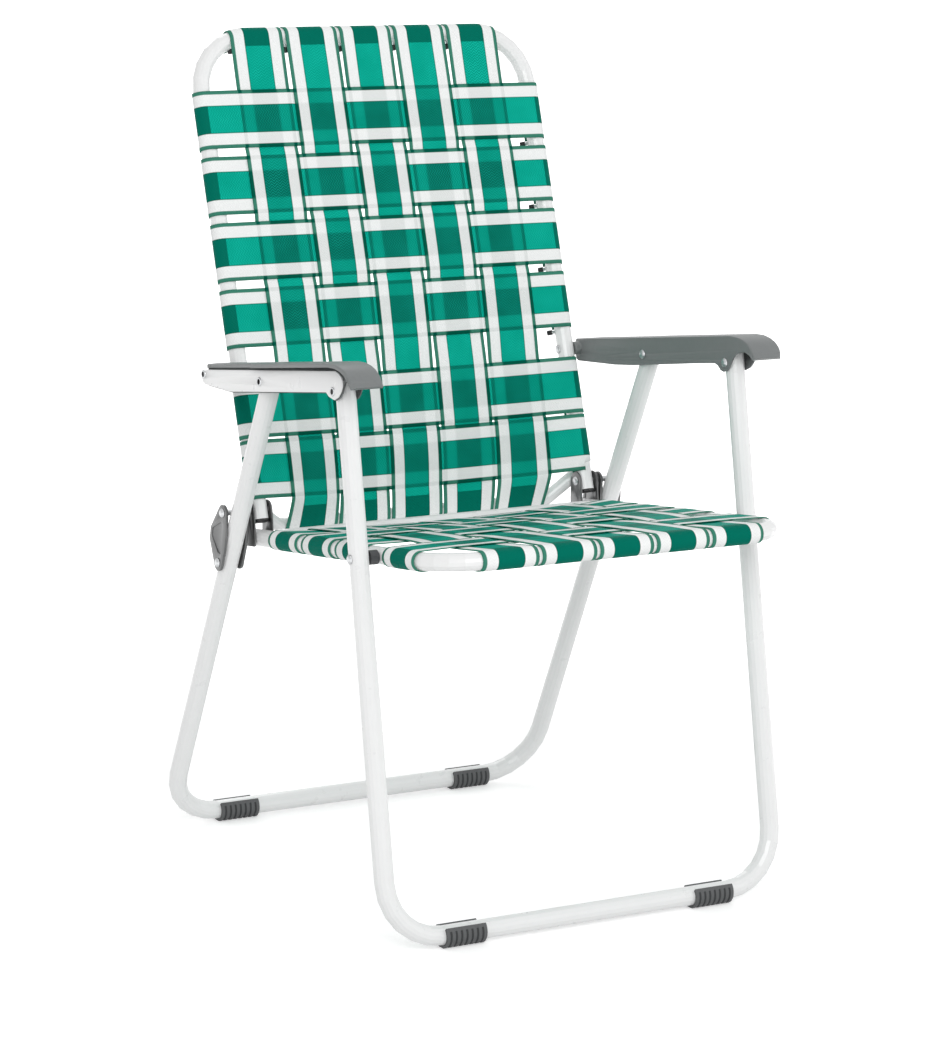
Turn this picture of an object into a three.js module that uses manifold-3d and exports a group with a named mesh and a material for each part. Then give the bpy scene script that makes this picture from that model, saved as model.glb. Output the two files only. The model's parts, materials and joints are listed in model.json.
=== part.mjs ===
// Folding webbed lawn chair, open. Millimetres, +Z up, the chair faces -Y, the floor is z = 0.
// "right" is the +X side and "left" its mirror image. The linkage is worked out in the (y, z)
// plane from the sizes below, and every piece is drawn from its pivots.
import * as THREE from 'three';
import { mergeVertices } from 'three/addons/utils/BufferGeometryUtils.js';
import Module from 'manifold-3d';

const wasm = await Module();
wasm.setup();

// Tubes
const legRadius = 11;
const frameRadius = 10;
const lowerBarRadius = 8;
const tubeWall = 1.2;
const railSpacing = 440; // between the centre lines of the two side tubes of back and seat
const pivotGap = 11; // between a side tube and the leg beside it
const legCorner = 65;
const backCorner = 65;
const seatCorner = 58;
const touchGap = 0.3; // left between pieces that rest on each other
const slideGap = 1.2; // left between a leg and the arm walls beside it
const legTopReach = 11; // leg tube above its arm pivot

// Linkage: lengths between pivots, angles in degrees
const frontLegLength = 596.5; // floor bar to arm pivot
const frontLegRake = 11.5;
const seatPivotUp = 416; // floor bar to seat pivot, along the front leg
const seatSlope = 7.2;
const seatRun = 294.5; // seat pivot to a point below the hinge, along the side rail
const hingeRise = 32; // hinge above the side rail
const backTilt = 18.8;
const armPivotUp = 161; // hinge to arm pivot, along the back
const rearLegRake = 23.9;
const linkLength = 60.5;
const axleRadius = 3.5;
const stopGap = 0.4; // axle to rear leg: the leg is the stop that holds the chair open

// Frames
const backTop = 552; // hinge to top bar, along the back
const backTail = 11; // side tube below the hinge
const seatNose = 130; // seat pivot to front bar, along the rail
const railTail = 13; // side rail behind the hinge
const rearBarSetback = 23;
const lowerBarBehind = 34;
const lowerBarBelow = 16;
const lowerBarRise = 26; // the bar's ends come up by this to the side tubes
const lowerBarStraight = 181; // half of the straight middle

// Webbing
const strapWidth = 68;
const strapThickness = 1;
const strapGap = 4.4; // between the long straps
const weaveLift = 0.8; // a strap passes this far above or below the middle of the webbing
const rowGap = 2; // least gap between two rows
const aboveArmPivot = 25.5;
const strapTail = 12; // loose end past the wrap
const rowTail = 8;
const turnGap = 4; // from the last row's edge to where a long strap turns down to its bar
const behindSeatPivot = 25.9;
const aheadOfSeatPivot = 13.5;
const aheadOfHinge = 42;
// The webbing hangs back between the side tubes, more and more towards the hinge
const backSag = 25;
const backSagFrom = 290; // height above the hinge where the sag starts
const seatSag = 9;
const seatSagFrom = 220; // distance ahead of the hinge where the sag starts
const sagPower = 1.3;
const backPinchShare = 0.026; // the back's long straps draw together by this at the hinge

// Arms
const noseReach = 60; // armrest ahead of the front pivot
const plateReach = 22.2; // arm plate ahead of the front pivot
const crownHeight = 31.5; // armrest's top above the line through the pivots, at the front
const crownThickness = 4.5;
const skirtThickness = 1.6;
const skirtShow = 1; // outer skirt past the edge of the plate
const armPlateThickness = 2;
const lipOut = 9.4; // the armrest's lip past the plate
const lipStartShare = 0.4; // share of the arm's length behind the lip
const lipEase = 15; // length over which the lip comes out to its full width
const rearSlant = 24; // the outer side starts this far ahead of the inner side
const noseCorner = 9;
const bossRadius = 8;

// Pivot hardware
const rivetRadius = 3;
const holeClearance = 0.35;
const headRadius = 5.5;
const headHeight = 2.6;
const flangeHeight = 0.6;
const flangeRadius = 4.8;
const eyeletWall = 1;
const spacerRadius = 8;
const linkThickness = 3.2;
const linkSideGap = 0.5;
const linkLobe = 9.6;
const linkFrontBulge = 25;
const linkRearBulge = 13;
const linkLobeHalf = 70; // degrees that a lobe runs round to each side
const pocketDepth = 1.1;
const pocketInset = 2.4;
const hingePlateThickness = 2;
const hingeLobe = 11.3;
const hingePlateBehind = 14;
const hingePlateBelow = 9;

// Feet and caps
const soleThickness = 2.4;
const footWall = 3.2;
const footLength = 50;
const footOpening = 100; // degrees left open at the top of the clip
const ribCount = 8;
const ribDepth = 0.7;
const grooveOverrun = 10; // degrees that a groove runs past the clip's ends
const capThickness = 3.4;
const capBevel = 1;
const plugDepth = 6;

const rad = THREE.MathUtils.degToRad;
const degrees = THREE.MathUtils.radToDeg;
const vec = (x, y, z) => new THREE.Vector3(x, y, z);
const X = vec(1, 0, 0);

// Shapes

const toShape = (points) => new THREE.Shape(points.map(([a, b]) => new THREE.Vector2(a, b)));

function arc(cx, cy, radius, from, to, steps) {
  return Array.from({ length: steps + 1 }, (_, i) => {
    const a = rad(from + ((to - from) * i) / steps);
    return [cx + radius * Math.cos(a), cy + radius * Math.sin(a)];
  });
}

// Like an arc, but its straight sides touch the circle from outside.
function around(cx, cy, radius, from, to, steps) {
  const half = (to - from) / steps / 2;
  const corners = arc(cx, cy, radius / Math.cos(rad(half)), from + half, to - half, steps - 1);
  const [start, end] = arc(cx, cy, radius, from, to, 1);
  return [start, ...corners, end];
}

const circle = ([a, b], radius, sides) => arc(a, b, radius, 0, 360 - 360 / sides, sides - 1);

// Merges equal vertices and drops the triangles that this leaves empty.
function tidy(geometry) {
  const bare = new THREE.BufferGeometry();
  bare.setAttribute('position', geometry.getAttribute('position'));
  if (geometry.index) bare.setIndex(geometry.index);
  const merged = mergeVertices(bare, 1e-3);
  const kept = [];
  const index = merged.index.array;
  for (let i = 0; i < index.length; i += 3) {
    const [a, b, c] = [index[i], index[i + 1], index[i + 2]];
    if (a !== b && b !== c && a !== c) kept.push(a, b, c);
  }
  merged.setIndex(kept);
  return merged;
}

function solid(geometry) {
  const g = tidy(geometry);
  return new wasm.Manifold(new wasm.Mesh({
    numProp: 3,
    vertProperties: new Float32Array(g.getAttribute('position').array),
    triVerts: new Uint32Array(g.index.array),
  }));
}

function fromSolid(body) {
  const mesh = body.getMesh();
  const g = new THREE.BufferGeometry();
  g.setAttribute('position', new THREE.BufferAttribute(mesh.vertProperties, 3));
  g.setIndex(new THREE.BufferAttribute(mesh.triVerts, 1));
  return g;
}

const joined = (...parts) => fromSolid(parts.map(solid).reduce((a, b) => a.add(b)));
const cut = (part, ...tools) => fromSolid(tools.map(solid).reduce((a, b) => a.subtract(b), solid(part)));
const common = (part, limit) => fromSolid(solid(part).intersect(solid(limit)));

// A flat outline in the (y, z) plane, thick from x0 to x1.
function slab(outline, x0, x1, holes = []) {
  const shape = toShape(outline);
  holes.forEach((hole) => shape.holes.push(toShape(hole)));
  const g = new THREE.ExtrudeGeometry(shape, { depth: x1 - x0, bevelEnabled: false, curveSegments: 1 });
  g.applyMatrix4(new THREE.Matrix4().makeBasis(vec(0, 1, 0), vec(0, 0, 1), X));
  return g.translate(x0, 0, 0);
}

const pinSides = 10;
const pin = (place, radius, x0, x1) => slab(circle(place, radius, pinSides), x0, x1);

// A turned piece about the x direction through a pivot; the profile is [radius, x].
function turned([y, z], profile) {
  const points = profile.map(([r, x]) => new THREE.Vector2(r, x));
  const g = new THREE.LatheGeometry(points, pinSides, 0);
  g.rotateZ(-Math.PI / 2);
  return tidy(g.translate(0, y, z));
}

// The same piece on the other side of the chair.
function mirrored(geometry) {
  const g = geometry.index ? geometry.clone() : mergeVertices(geometry);
  g.scale(-1, 1, 1);
  g.setIndex(Array.from(g.index.array).reverse());
  return g;
}

// A quarter turn, or less, from centre + a towards centre + b.
class Bend extends THREE.Curve {
  constructor(centre, a, b, angle = 90) {
    super();
    Object.assign(this, { centre, a, b, angle: rad(angle) });
  }

  getPoint(t, target = new THREE.Vector3()) {
    return target.copy(this.centre)
      .addScaledVector(this.a, Math.cos(t * this.angle))
      .addScaledVector(this.b, Math.sin(t * this.angle));
  }
}

// Straight lengths and bends in a row, with a ring of the tube at each step.
class Route extends THREE.Curve {
  constructor(pieces) {
    super();
    this.pieces = pieces;
    this.steps = pieces.reduce((sum, piece) => sum + piece.steps, 0);
  }

  getPoint(t, target = new THREE.Vector3()) {
    let s = THREE.MathUtils.clamp(t, 0, 1) * this.steps;
    const piece = this.pieces.find((p) => {
      if (s <= p.steps) return true;
      s -= p.steps;
      return false;
    }) ?? this.pieces.at(-1);
    return target.copy(piece.curve.getPoint(Math.min(s / piece.steps, 1)));
  }

  getPointAt(u, target) {
    return this.getPoint(u, target);
  }

  getUtoTmapping(u) {
    return u;
  }
}

const straight = (a, b) => ({ curve: new THREE.LineCurve3(a, b), steps: 1 });
const bendSteps = 6;
const bend = (centre, a, b, angle = 90, steps = bendSteps) => (
  { curve: new Bend(centre, a, b, angle), steps }
);

const tubeSides = 16;
const boreSides = 8;
function tube(route, radius) {
  const section = toShape(circle([0, 0], radius, tubeSides));
  section.holes.push(toShape(circle([0, 0], radius - tubeWall, boreSides)));
  return new THREE.ExtrudeGeometry(section, { extrudePath: route, steps: route.steps, bevelEnabled: false });
}

// A U of tube: its bar lies across at the origin and its two tails run along the direction.
function uTube(origin, along, half, corner, tail, radius) {
  const at = (x, s) => origin.clone().addScaledVector(X, x).addScaledVector(along, s);
  const across = X.clone().multiplyScalar(corner);
  const down = along.clone().multiplyScalar(-corner);
  return tube(new Route([
    straight(at(half, tail), at(half, corner)),
    bend(at(half - corner, corner), across, down),
    straight(at(half - corner, 0), at(corner - half, 0)),
    bend(at(corner - half, corner), down, across.clone().negate()),
    straight(at(-half, corner), at(-half, tail)),
  ]), radius);
}

// Pivots, as [y, z]

const flat = (v) => [v.y, v.z];
const plane = (degrees) => vec(0, Math.sin(rad(degrees)), Math.cos(rad(degrees)));

const railX = railSpacing / 2;
const legX = railX + frameRadius + pivotGap + legRadius;
const barHeight = soleThickness + touchGap + legRadius;
const frontBar = vec(0, 0, barHeight);
const frontUp = plane(frontLegRake);
const armFront = frontBar.clone().addScaledVector(frontUp, frontLegLength);
const seatPivot = frontBar.clone().addScaledVector(frontUp, seatPivotUp);

const seatBack = vec(0, Math.cos(rad(seatSlope)), -Math.sin(rad(seatSlope)));
const seatAhead = seatBack.clone().negate();
const seatUp = plane(seatSlope);
const hinge = seatPivot.clone().addScaledVector(seatBack, seatRun).addScaledVector(seatUp, hingeRise);

const backUp = plane(backTilt);
const backFront = vec(0, -Math.cos(rad(backTilt)), Math.sin(rad(backTilt)));
const armRear = hinge.clone().addScaledVector(backUp, armPivotUp);

const rearUp = plane(-rearLegRake);
const axleToLeg = legRadius + axleRadius + stopGap;
const hingeToLeg = (hinge.z - barHeight) * Math.sin(rad(rearLegRake)) - axleToLeg;
const rearBar = vec(0, hinge.y + hingeToLeg / Math.cos(rad(rearLegRake)), barHeight);
const armAhead = armFront.clone().sub(armRear).normalize();
const armUp = vec(0, armAhead.z, -armAhead.y);
const armLength = armFront.distanceTo(armRear);
// where the rear leg crosses the line between the two other arm pivots
const rearLegLength = armRear.clone().sub(rearBar).dot(armUp) / rearUp.dot(armUp);
const armMiddle = rearBar.clone().addScaledVector(rearUp, rearLegLength);
const hingeAlongLeg = hinge.clone().sub(rearBar).dot(rearUp);
const linkEnd = rearBar.clone()
  .addScaledVector(rearUp, hingeAlongLeg - Math.sqrt(linkLength ** 2 - axleToLeg ** 2));

const pivot = {
  armFront: flat(armFront), armMiddle: flat(armMiddle), armRear: flat(armRear),
  seat: flat(seatPivot), hinge: flat(hinge), link: flat(linkEnd),
};

// The chair

const white = { color: 0xf4f5f5, roughness: 0.35, metalness: 0 };
const grey = { color: 0x7f8284, roughness: 0.55, metalness: 0 };
const darkGrey = { color: 0x3c3f42, roughness: 0.7, metalness: 0 };
const black = { color: 0x151617, roughness: 0.6, metalness: 0 };
const zinc = { color: 0xb9bcbd, roughness: 0.35, metalness: 0.9 };
const steel = { color: 0x9b9fa1, roughness: 0.45, metalness: 0.6 };
const green = { color: 0x0b8a6a, roughness: 0.6, metalness: 0 };

const chair = new THREE.Group();

function add(name, geometry, look) {
  const bare = tidy(geometry);
  bare.computeVertexNormals();
  const mesh = new THREE.Mesh(bare, new THREE.MeshStandardMaterial(look));
  mesh.name = name;
  chair.add(mesh);
}

function addPair(name, geometry, look) {
  add(`${name}_right`, geometry, look);
  add(`${name}_left`, mirrored(geometry), look);
}

const bothSides = (place, radius, x0, x1) => [pin(place, radius, x0, x1), pin(place, radius, -x1, -x0)];
const holeRadius = rivetRadius + holeClearance;
const axleHole = axleRadius + holeClearance;
const over = frameRadius; // how far a cut runs past the surface

// Legs
add('front_leg', cut(
  uTube(frontBar, frontUp, legX, legCorner, frontLegLength + legTopReach, legRadius),
  ...bothSides(pivot.seat, holeRadius, legX - legRadius - over, legX + legRadius + over),
), white);
add('rear_leg', cut(
  uTube(rearBar, rearUp, legX, legCorner, rearLegLength + legTopReach, legRadius),
  ...bothSides(pivot.armMiddle, holeRadius, legX - legRadius - over, legX + legRadius + over),
), white);

// Feet: clips under both ends of each floor bar, with grooves that leave ribs round them
const clipSteps = 3;
function foot(bar) {
  const inner = legRadius + touchGap;
  const outer = inner + footWall;
  const [from, to] = [90 + footOpening / 2, 450 - footOpening / 2];
  const soleHalf = degrees(Math.acos(barHeight / outer));
  const set = (points) => points.map(([y, z]) => [y + bar.y, z + bar.z]);
  const clip = set([
    ...arc(0, 0, outer, from, 270 - soleHalf, clipSteps),
    ...arc(0, 0, outer, 270 + soleHalf, to, clipSteps),
    ...around(0, 0, inner, to, from, 2 * clipSteps),
  ]);
  // The grooves stay above the flat sole, so that it is one face.
  const [grooveFrom, grooveTo] = [from - grooveOverrun, to + grooveOverrun];
  const groove = set([
    ...around(0, 0, outer - ribDepth, grooveFrom, grooveTo, 3 * clipSteps),
    ...arc(0, 0, outer + footWall, grooveTo, grooveFrom, 2 * clipSteps),
  ]);
  const start = legX - legCorner - footLength;
  const pitch = footLength / (2 * ribCount - 1);
  const grooves = Array.from({ length: ribCount - 1 }, (_, i) => {
    const x = start + (2 * i + 1) * pitch;
    return slab(groove, x, x + pitch);
  });
  return cut(slab(clip, start, start + footLength), ...grooves);
}
addPair('foot_front', foot(frontBar), darkGrey);
addPair('foot_rear', foot(rearBar), darkGrey);

// Back frame
const topBar = hinge.clone().addScaledVector(backUp, backTop);
add('back_frame', cut(
  uTube(topBar, backUp.clone().negate(), railX, backCorner, backTop + backTail, frameRadius),
  ...bothSides(pivot.armRear, holeRadius, railX - frameRadius - over, railX + frameRadius + over),
  ...bothSides(pivot.hinge, axleHole, railX - frameRadius - over, railX + frameRadius + over),
), white);

const lowerBendSteps = 3;
function lowerBar() {
  const at = (x, behind, up) => hinge.clone().addScaledVector(X, x)
    .addScaledVector(backFront, -behind).addScaledVector(backUp, up);
  const endBehind = frameRadius + lowerBarRadius + 2 * touchGap;
  const middle = at(lowerBarStraight, lowerBarBehind, -lowerBarBelow);
  const end = at(railX - 2 * touchGap, endBehind, lowerBarRise - lowerBarBelow);
  const rise = end.clone().sub(middle);
  const swing = degrees(rise.angleTo(X));
  const side = rise.clone().addScaledVector(X, -rise.dot(X)).normalize();
  const corner = lowerBarRadius * 2;
  const reach = corner * Math.tan(rad(swing / 2));
  const mirror = (v) => vec(-v.x, v.y, v.z);
  const begin = middle.clone().addScaledVector(X, -reach);
  const leave = middle.clone().addScaledVector(rise.clone().normalize(), reach);
  const centre = begin.clone().addScaledVector(side, corner);
  const down = side.clone().multiplyScalar(-corner);
  const out = X.clone().multiplyScalar(corner);
  const rightBend = bend(centre, down, out, swing, lowerBendSteps);
  const leftCurve = Object.assign(new THREE.Curve(), {
    getPoint: (t, target = new THREE.Vector3()) => target.copy(mirror(rightBend.curve.getPoint(1 - t))),
  });
  return tube(new Route([
    straight(mirror(end), mirror(leave)),
    { curve: leftCurve, steps: lowerBendSteps },
    straight(mirror(begin), begin),
    rightBend,
    straight(leave, end),
  ]), lowerBarRadius);
}
add('back_lower_bar', lowerBar(), white);

// Seat frame
const frontBarSeat = seatPivot.clone().addScaledVector(seatAhead, seatNose);
add('seat_frame', cut(
  uTube(frontBarSeat, seatBack, railX, seatCorner, seatNose + seatRun + railTail, frameRadius),
  ...bothSides(pivot.seat, holeRadius, railX - frameRadius - over, railX + frameRadius + over),
), white);
const hingeFoot = hinge.clone().addScaledVector(seatUp, -hingeRise);
const rearSeatBar = hingeFoot.clone().addScaledVector(seatAhead, rearBarSetback);
const rearBarHalf = railX - frameRadius - touchGap;
const rearBarEnd = (side) => rearSeatBar.clone().addScaledVector(X, side * rearBarHalf);
add('seat_rear_bar', tube(new Route([straight(rearBarEnd(-1), rearBarEnd(1))]), frameRadius), white);

// End caps: a disc with a plug in the tube
function cap(end, along) {
  const plug = (frameRadius - tubeWall - 2 * touchGap) * Math.cos(Math.PI / boreSides);
  const top = capThickness + touchGap;
  const profile = [
    [0, -plugDepth], [plug, -plugDepth], [plug, touchGap], [frameRadius, touchGap],
    [frameRadius, top - capBevel], [frameRadius - capBevel, top], [0, top],
  ];
  const g = new THREE.LatheGeometry(profile.map(([r, h]) => new THREE.Vector2(r, h)), tubeSides);
  g.applyQuaternion(new THREE.Quaternion().setFromUnitVectors(vec(0, 1, 0), along));
  return g.translate(railX, end.y, end.z);
}
addPair('back_cap', cap(hinge.clone().addScaledVector(backUp, -backTail), backUp.clone().negate()), black);
addPair('seat_cap', cap(hingeFoot.clone().addScaledVector(seatBack, railTail), seatBack), black);

// Hinge plates: riveted to the end of the side rail, one on each side of the back tube
const hingeOutline = [
  ...arc(0, hingeRise, hingeLobe, 0, 180, 10),
  [-hingePlateBehind, frameRadius],
  ...arc(-hingePlateBehind + axleRadius, -hingePlateBelow + axleRadius, axleRadius, 180, 270, 3),
  ...arc(hingeLobe - axleRadius, -hingePlateBelow + axleRadius, axleRadius, 270, 360, 3),
].map(([ahead, up]) => flat(
  hingeFoot.clone().addScaledVector(seatAhead, ahead).addScaledVector(seatUp, up),
));
const innerPlateX = railX - frameRadius - touchGap;
const outerPlateX = railX + frameRadius + touchGap;
const hingeHole = pin(pivot.hinge, axleHole, innerPlateX - over, outerPlateX + over);
const hingePlate = (x) => cut(slab(hingeOutline, x, x + hingePlateThickness), hingeHole);
addPair('hinge_plate_inner', hingePlate(innerPlateX - hingePlateThickness), steel);
addPair('hinge_plate_outer', hingePlate(outerPlateX), steel);

// Link plates: two dogbones a side, the rear leg between them, each pressed in on its open face
const linkDown = linkEnd.clone().sub(hinge).normalize();
const linkAhead = vec(0, -linkDown.z, linkDown.y);
const linkAt = ([down, ahead]) => flat(
  hinge.clone().addScaledVector(linkDown, down).addScaledVector(linkAhead, ahead),
);
const linkMiddle = linkLength / 2;
const linkOutline = [
  ...arc(0, 0, linkLobe, 180 - linkLobeHalf, 180 + linkLobeHalf, 7),
  [linkMiddle - linkLobe, -linkRearBulge],
  [linkMiddle + linkLobe, -linkRearBulge],
  ...arc(linkLength, 0, linkLobe, -linkLobeHalf, linkLobeHalf, 7),
  [linkMiddle + linkLobe, linkFrontBulge],
  [linkMiddle - linkLobe / 2, linkFrontBulge],
].map(linkAt);
const pocketNear = linkLobe + pocketInset;
const pocketFar = linkLength - pocketNear;
const pocketEdge = 2 * pocketInset;
const pocket = [
  [pocketNear, -pocketEdge],
  [pocketFar, -pocketEdge],
  [pocketFar, pocketInset],
  [linkMiddle + pocketEdge, linkFrontBulge - pocketEdge],
  [linkMiddle - pocketEdge, linkFrontBulge - pocketEdge],
  [pocketNear, pocketInset],
].map(linkAt);
const innerLinkX = legX - legRadius - linkSideGap;
const outerLinkX = legX + legRadius + linkSideGap;
// A domed head from its top to its rim, as shares of its radius and its height
const domeShares = [[0, 1], [0.55, 0.85], [0.9, 0.4], [1, 0]];
const dome = (x, dir) => domeShares.map(([r, h]) => [r * headRadius, x + dir * h * headHeight]);
// A domed head and a short shank; dir is the way that the head points along x.
const stub = (place, x, dir, shankTo) => {
  const profile = [...dome(x, dir), [rivetRadius, x], [rivetRadius, shankTo], [0, shankTo]];
  return turned(place, dir < 0 ? profile : profile.reverse());
};
addPair('link_inner', joined(
  cut(slab(linkOutline, innerLinkX - linkThickness, innerLinkX),
    slab(pocket, innerLinkX - linkThickness - over, innerLinkX - linkThickness + pocketDepth),
    pin(pivot.hinge, axleHole, innerLinkX - over, innerLinkX + over)),
  stub(pivot.link, innerLinkX - linkThickness, -1, innerLinkX - linkThickness / 2),
), steel);
addPair('link_outer', cut(
  slab(linkOutline, outerLinkX, outerLinkX + linkThickness),
  slab(pocket, outerLinkX + linkThickness - pocketDepth, outerLinkX + linkThickness + over),
  pin(pivot.hinge, axleHole, outerLinkX - over, outerLinkX + over),
  pin(pivot.link, holeRadius, outerLinkX - over, outerLinkX + over),
), steel);

// Rivets: a domed head, a shank and, where the far end shows, a rolled flange with a hole
const rivet = (place, x0, x1, radius) => turned(place, [
  ...dome(x0, -1), [radius, x0], [radius, x1], ...dome(x1, 1).reverse(),
]);
const eyelet = (place, x0, x1, radius) => turned(place, [
  ...dome(x0, -1), [radius, x0], [radius, x1], [flangeRadius, x1], [flangeRadius, x1 + flangeHeight],
  [radius - eyeletWall, x1 + flangeHeight], [radius - eyeletWall, x1 - flangeHeight], [0, x1 - flangeHeight],
]);

addPair('hinge_rivet', rivet(pivot.hinge, innerPlateX - hingePlateThickness - touchGap,
  outerLinkX + linkThickness + touchGap, axleRadius), zinc);
addPair('link_rivet', stub(pivot.link, outerLinkX + linkThickness + touchGap, 1,
  outerLinkX + touchGap), zinc);
addPair('seat_pivot_rivet', rivet(pivot.seat, railX - frameRadius - touchGap,
  legX + legRadius + touchGap, rivetRadius), zinc);
addPair('seat_pivot_spacer', slab(
  circle(pivot.seat, spacerRadius, tubeSides),
  railX + frameRadius + touchGap,
  legX - legRadius - touchGap,
  [circle(pivot.seat, holeRadius, pinSides).reverse()],
), darkGrey);

// Arms: a moulded armrest with a skirt on each side of the legs, and a steel plate outside it.
// Outline points are [share of the arm's length, share of the reach ahead of that, share of the
// crown's height above the line through the pivots], clockwise as seen from the right.
const crownShares = [
  [0, -0.083, 0.352], [1, -0.333, 0.943], [1, 0.15, 1], [1, 0.4, 0.978], [1, 0.6, 0.895],
  [1, 0.75, 0.775], [1, 0.86, 0.61], [1, 0.95, 0.413], [1, 1, 0.238],
];
const archShares = [[1, 0.93, 0.17], [1, 0.833, 0.333], [1, 0.665, 0.45], [1, 0.432, 0.378]];
const innerEdgeShares = [
  [1, 0.784, 0.21], [1, 0.428, -0.143], [1, 0.203, -0.286], [1, -0.135, -0.337], [1, -0.405, -0.27],
  [1, -0.631, -0.127], [1, -0.946, -0.038], [0.571, 0, -0.302], [0.387, 0, -0.448],
  [0.261, 0, -0.498], [0, 0, -0.489], [0, -0.203, -0.413], [0, -0.248, -0.254],
];
const plateTopShares = [
  [0, 0.54, 0.178], [1, 0.32, 0.717], [1, 0.631, 0.651], [1, 0.878, 0.54], [1, 1, 0.394],
];
const plateEdgeShares = [
  [1, 0.968, 0.222], [1, 0.811, 0.016], [1, 0.541, -0.175], [1, 0.122, -0.286], [1, -0.405, -0.19],
  [1, -0.676, -0.057], [0.453, 0, -0.378], [0.218, 0, -0.505], [0, 0.311, -0.371],
  [0, 0.036, -0.286], [0, -0.068, -0.127], [0, -0.054, 0], [0, 0.068, 0.124],
];
const outline = (shares, reach) => shares.map(
  ([share, ahead, up]) => [share * armLength + ahead * reach, up * crownHeight],
);
const armAt = ([ahead, up]) => flat(
  armRear.clone().addScaledVector(armAhead, ahead).addScaledVector(armUp, up),
);

// The points moved to the right of the way that they run, which is inward on a clockwise outline.
function inward(points, distance) {
  return points.map((p, i) => {
    const a = points[Math.max(i - 1, 0)];
    const b = points[Math.min(i + 1, points.length - 1)];
    const d = new THREE.Vector2(b[0] - a[0], b[1] - a[1]).normalize();
    return [p[0] + d.y * distance, p[1] - d.x * distance];
  });
}

const crown = outline(crownShares, noseReach);
const crownBand = [...crown, ...inward(crown, crownThickness).reverse()];
const arch = outline(archShares, noseReach);
const innerSkirt = [...crown, ...arch, ...outline(innerEdgeShares, plateReach)];
const plateEdge = outline(plateEdgeShares, plateReach);
const outerSkirt = [...crown, ...arch, ...inward(plateEdge, -skirtShow)];
const plateOutline = [...outline(plateTopShares, plateReach), ...plateEdge];

const skirtOuter = legX - legRadius - slideGap;
const skirtInner = skirtOuter - skirtThickness;
const wallInner = legX + legRadius + slideGap;
const wallOuter = wallInner + skirtThickness;
const plateInner = wallOuter + touchGap;
const plateOuter = plateInner + armPlateThickness;
const lipOuter = plateOuter + lipOut;

// The armrest seen from above, as [ahead, x]: its outer side starts late and then becomes a lip.
const noseEnd = armLength + noseReach + touchGap;
const lipStart = lipStartShare * armLength;
const plan = [
  [-2 * over, skirtInner - over],
  [noseEnd, skirtInner - over],
  ...arc(noseEnd - noseCorner, lipOuter - noseCorner, noseCorner, 0, 90, 5),
  [lipStart + lipEase, lipOuter],
  [lipStart, plateOuter],
  [rearSlant - over, plateOuter],
  [-over, skirtOuter],
  [-2 * over, skirtOuter],
];

// An outline seen from above, as [ahead, x], through the whole height of the arm.
function fromAbove(points) {
  const low = -crownHeight;
  const g = new THREE.ExtrudeGeometry(toShape(points), { depth: 3 * crownHeight, bevelEnabled: false });
  g.applyMatrix4(new THREE.Matrix4().makeBasis(armAhead, X, armUp));
  const base = armRear.clone().addScaledVector(armUp, low);
  return g.translate(base.x, base.y, base.z);
}

const armrest = common(joined(
  slab(innerSkirt.map(armAt), skirtInner, skirtOuter),
  slab(outerSkirt.map(armAt), wallInner, wallOuter),
  slab(crownBand.map(armAt), skirtInner, lipOuter + over),
), fromAbove(plan));
addPair('armrest', cut(
  joined(armrest, pin(pivot.armRear, bossRadius, railX + frameRadius + touchGap, skirtOuter)),
  pin(pivot.armFront, holeRadius, skirtInner - over, wallOuter + over),
  pin(pivot.armMiddle, holeRadius, skirtInner - over, wallOuter + over),
  pin(pivot.armRear, holeRadius, railX, skirtOuter + over),
), grey);
addPair('arm_plate', cut(
  slab(plateOutline.map(armAt), plateInner, plateOuter),
  pin(pivot.armFront, holeRadius, plateInner - over, plateOuter + over),
  pin(pivot.armMiddle, holeRadius, plateInner - over, plateOuter + over),
), white);

addPair('arm_rivet_front', eyelet(pivot.armFront, skirtInner - touchGap,
  skirtOuter + touchGap, rivetRadius), zinc);
addPair('arm_rivet_middle', eyelet(pivot.armMiddle, skirtInner - touchGap,
  plateOuter + touchGap, rivetRadius), zinc);
addPair('arm_rivet_rear', eyelet(pivot.armRear, railX - frameRadius - touchGap,
  skirtOuter + touchGap, rivetRadius), zinc);

// Webbing: each woven panel has an origin at the hinge's end, a direction away from it along the
// side tubes and one out of the panel towards the sitter.
const strapHalf = strapWidth / 2;
const strapPitch = strapWidth + strapGap;
const strapLevel = frameRadius + touchGap + strapThickness / 2; // middle of the webbing over a tube
const longStraps = [-2, -1, 0, 1, 2].map((i) => i * strapPitch);
const wrapSteps = 5;
const barWrap = 170; // degrees that a long strap runs round the back's lower bar
const seatBarWrap = 185; // and round the seat's rear bar, from below

const backPanel = {
  origin: hinge,
  along: backUp,
  out: backFront,
  sag: backSag,
  sagFrom: backSagFrom,
  pinchShare: backPinchShare,
};
const seatPanel = {
  origin: hingeFoot,
  along: seatAhead,
  out: seatUp,
  sag: seatSag,
  sagFrom: seatSagFrom,
  pinchShare: 0,
};

const slack = (panel, s) => Math.max(1 - s / panel.sagFrom, 0);
// Level of a strap at (x, s) where it passes over or under the strap that it crosses.
function wovenLevel(panel, x, s, over) {
  const sag = panel.sag * slack(panel, s) ** sagPower * (1 - (x / railX) ** 2);
  return strapLevel - sag + (over ? weaveLift : -weaveLift);
}
const strapMiddle = (panel, x, s) => x * (1 - panel.pinchShare * slack(panel, s));
const inPanel = (panel, x, s, level) => panel.origin.clone()
  .addScaledVector(X, x).addScaledVector(panel.along, s).addScaledVector(panel.out, level);

// The angle where a line from a place touches a circle, on the side given by sign.
function touchAngle(from, centre, radius, sign) {
  const d = new THREE.Vector2(from[0] - centre[0], from[1] - centre[1]);
  return degrees(d.angle() + sign * Math.acos(radius / d.length()));
}

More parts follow.
